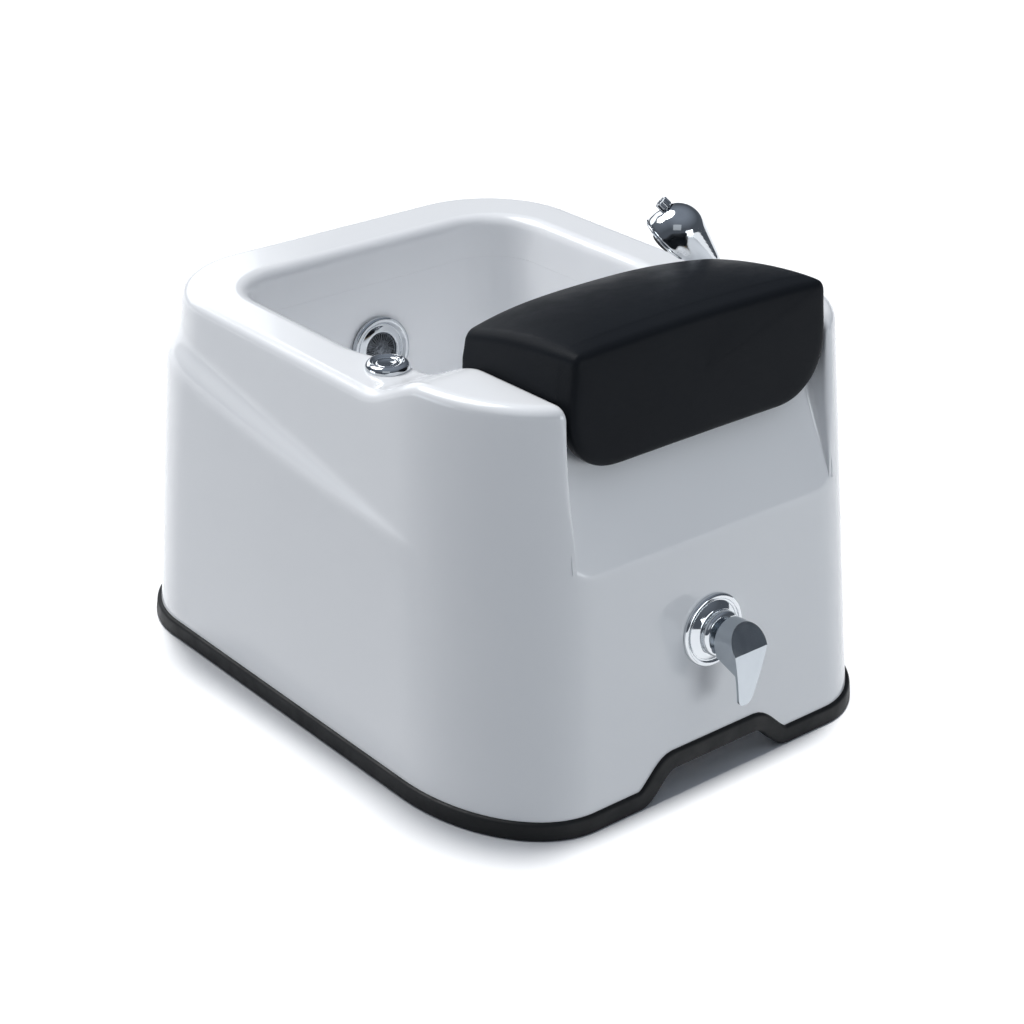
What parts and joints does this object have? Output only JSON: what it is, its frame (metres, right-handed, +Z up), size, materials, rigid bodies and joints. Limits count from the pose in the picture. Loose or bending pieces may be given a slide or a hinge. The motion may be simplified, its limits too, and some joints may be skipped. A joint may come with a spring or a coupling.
{
  "type": "pedicure foot spa tub",
  "caption": "Free-standing foot spa tub with a padded footrest across its front, a lever mixer, a pull-up hand shower, a water jet and an air button.",
  "frame": {"origin": "middle of the whole box at floor level", "axes": "+Z up, -Y towards the mixer and the footrest, +X to the hand shower side"},
  "size_m": [0.5698, 0.7911, 0.5239],
  "materials": {
    "gel_coat": "gloss moulded skin",
    "rubber_trim": "satin rubber",
    "rubber_soft": "matt rubber",
    "pad_cover": "satin coated fabric over foam",
    "chrome": "polished",
    "brass": "cast",
    "steel": "powder coated",
    "zinc": "plated",
    "white_plastic": "moulded",
    "grey_plastic": "moulded",
    "black_plastic": "moulded",
    "clear_tube": "soft tube",
    "plywood": "sealed plywood"
  },
  "bodies": {
    "tub": {"tub_shell": "gel_coat", "foot_basin": "gel_coat", "base_trim": "rubber_trim", "support_frame": "steel", "frame_feet": "rubber_soft", "basin_pads": "rubber_soft", "waste_flange": "chrome", "waste_gasket": "rubber_soft", "waste_locknut": "white_plastic", "waste_tailpipe": "white_plastic", "jet_ring": "chrome", "jet_strainer": "chrome", "jet_gasket": "rubber_soft", "jet_housing": "white_plastic", "jet_locknut": "white_plastic", "jet_motor": "grey_plastic", "air_button_bezel": "chrome", "air_button_locknut": "white_plastic", "air_bellows": "rubber_soft", "air_tube": "clear_tube", "control_box": "white_plastic", "control_lid": "grey_plastic", "cable_gland": "black_plastic", "motor_cable": "black_plastic", "mixer_plate": "chrome", "mixer_body": "brass", "mixer_gasket": "rubber_soft", "mixer_locknut": "brass", "mixer_bonnet": "chrome", "mixer_cartridge": "white_plastic", "shower_collar": "chrome", "shower_collar_nut": "brass", "shower_hose_loop": "zinc", "pin_bushes": "white_plastic"},
    "mixer_turn": {"mixer_stem": "brass"},
    "mixer_handle": {"mixer_lever": "chrome", "mixer_pivot_pin": "zinc"},
    "air_cap": {"air_button_cap": "chrome"},
    "shower_riser": {"shower_hose_riser": "zinc"},
    "shower_head": {"shower_body": "chrome", "shower_face_ring": "chrome", "shower_nozzle": "grey_plastic"},
    "shower_press": {"shower_button": "chrome"},
    "plug": {"waste_plug": "chrome"},
    "impeller": {"jet_impeller": "grey_plastic"},
    "footrest": {"footrest_pad": "pad_cover", "footrest_board": "plywood", "footrest_pins": "zinc", "board_screws": "zinc"}
  },
  "joints": [
    {"name": "mixer_temperature", "type": "hinge", "parent": "tub", "child": "mixer_turn", "pos_m": [0, -0.33745, 0.17], "axis": [0, -0.9976, 0.0698], "range_deg": [-45, 45]},
    {"name": "mixer_flow", "type": "hinge", "parent": "mixer_turn", "child": "mixer_handle", "pos_m": [0, -0.36937, 0.17223], "axis": [-1, 0, 0], "range_deg": [0, 18]},
    {"name": "air_button_press", "type": "slide", "parent": "tub", "child": "air_cap", "axis": [0, 0, -1], "range_m": [0, 0.003], "stiffness_N_per_m": 900, "springref_m": -0.003},
    {"name": "shower_lift", "type": "slide", "parent": "tub", "child": "shower_riser", "axis": [0, 0, 1], "range_m": [0, 0.15]},
    {"name": "shower_turn", "type": "hinge", "parent": "shower_riser", "child": "shower_head", "pos_m": [0.214, -0.08635, 0.43], "axis": [0, 0, 1], "range_deg": [-90, 60]},
    {"name": "shower_button_press", "type": "slide", "parent": "shower_head", "child": "shower_press", "axis": [0.5495, -0.445, -0.7071], "range_m": [0, 0.003], "stiffness_N_per_m": 600, "springref_m": -0.003},
    {"name": "waste_plug_lift", "type": "slide", "parent": "tub", "child": "plug", "axis": [0, 0, 1], "range_m": [0, 0.008]},
    {"name": "impeller_spin", "type": "hinge", "parent": "tub", "child": "impeller", "pos_m": [0, 0.23721, 0.297], "axis": [0, -0.9929, 0.1191], "continuous": true},
    {"name": "footrest_lift", "type": "slide", "parent": "tub", "child": "footrest", "axis": [0, 0, 1], "range_m": [0, 0.06]}
  ]
}
